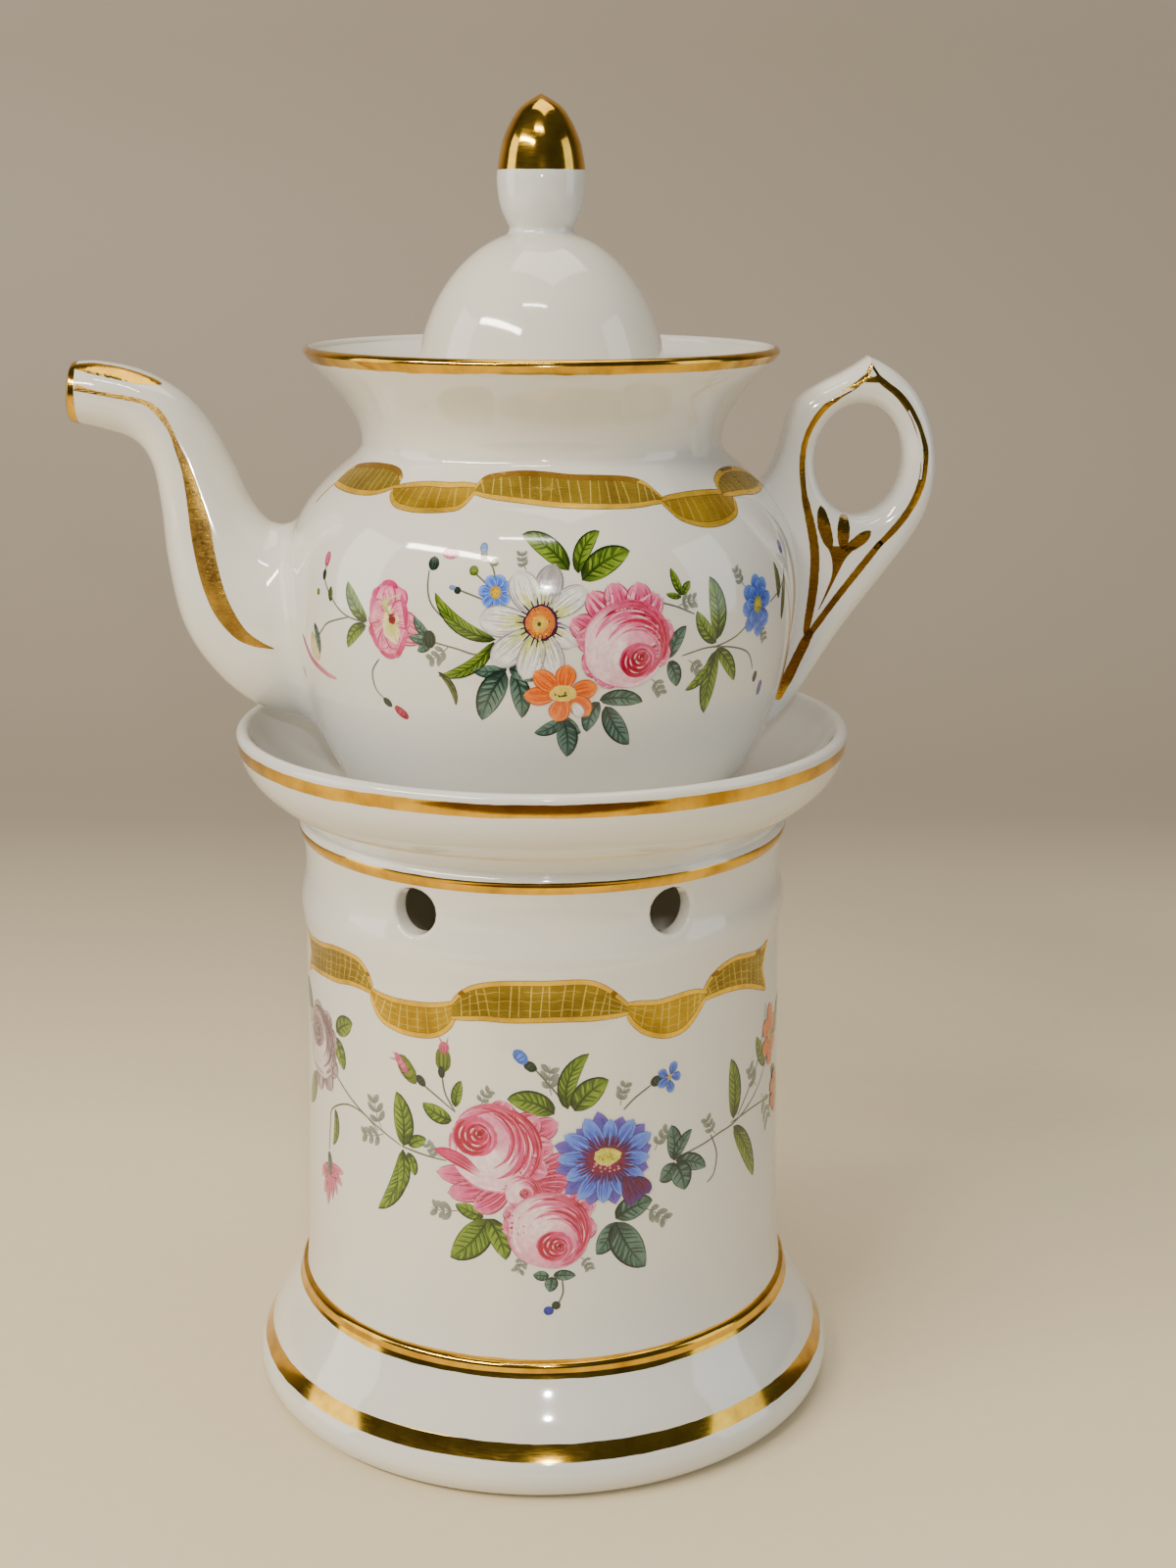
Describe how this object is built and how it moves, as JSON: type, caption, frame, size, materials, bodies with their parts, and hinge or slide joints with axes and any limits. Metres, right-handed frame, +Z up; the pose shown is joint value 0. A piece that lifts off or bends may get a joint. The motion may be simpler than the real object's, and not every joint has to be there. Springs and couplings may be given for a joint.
{
  "type": "teapot on burner stand",
  "caption": "Small porcelain teapot with a domed lid, standing in the flared collar of a footed burner stand with vent holes, gilt bands and painted flowers",
  "frame": {"origin": "on the stand's own upright axis, at the height of the table that it stands on", "axes": "+Z up along the stand's axis, +X from the axis to the handle, -X to the spout, -Y to the painted front, +Y to the burner's doorway"},
  "size_m": [0.1553, 0.1128, 0.2407],
  "materials": {
    "stand_porcelain": "glazed white, gilt bands and painted flowers",
    "floor_biscuit": "unglazed",
    "pot_porcelain": "glazed white, gilt rim and painted flowers",
    "lid_porcelain": "glazed white, gilt knob",
    "burner_porcelain": "glazed white",
    "tube_brass": "dull",
    "wick_cotton": "plaited cotton"
  },
  "bodies": {
    "stand": {"stand_foot": "stand_porcelain", "stand_floor": "floor_biscuit", "stand_wall": "stand_porcelain", "stand_vent_band": "stand_porcelain", "stand_collar": "stand_porcelain"},
    "pot": {"pot_foot": "pot_porcelain", "pot_body": "pot_porcelain", "pot_shoulder": "pot_porcelain", "pot_neck": "pot_porcelain", "pot_spout": "pot_porcelain", "pot_handle": "pot_porcelain"},
    "lid": {"lid_cap": "lid_porcelain", "lid_knob": "lid_porcelain"},
    "burner": {"burner_cup": "burner_porcelain", "burner_handle": "burner_porcelain"},
    "burner_top": {"burner_cover": "burner_porcelain", "wick_tube": "tube_brass"},
    "wick_cord": {"wick": "wick_cotton"}
  },
  "joints": [
    {"name": "pot_lift", "type": "slide", "parent": "stand", "child": "pot", "axis": [0, 0, 1], "range_m": [0, 0.06]},
    {"name": "lid_lift", "type": "slide", "parent": "pot", "child": "lid", "axis": [0, 0, 1], "range_m": [0, 0.05]},
    {"name": "burner_slide", "type": "slide", "parent": "stand", "child": "burner", "axis": [0, 1, 0], "range_m": [0, 0.075]},
    {"name": "cover_lift", "type": "slide", "parent": "burner", "child": "burner_top", "axis": [0, 0, 1], "range_m": [0, 0.006]},
    {"name": "wick_raise", "type": "slide", "parent": "burner_top", "child": "wick_cord", "axis": [0, 0, 1], "range_m": [0, 0.004]}
  ]
}
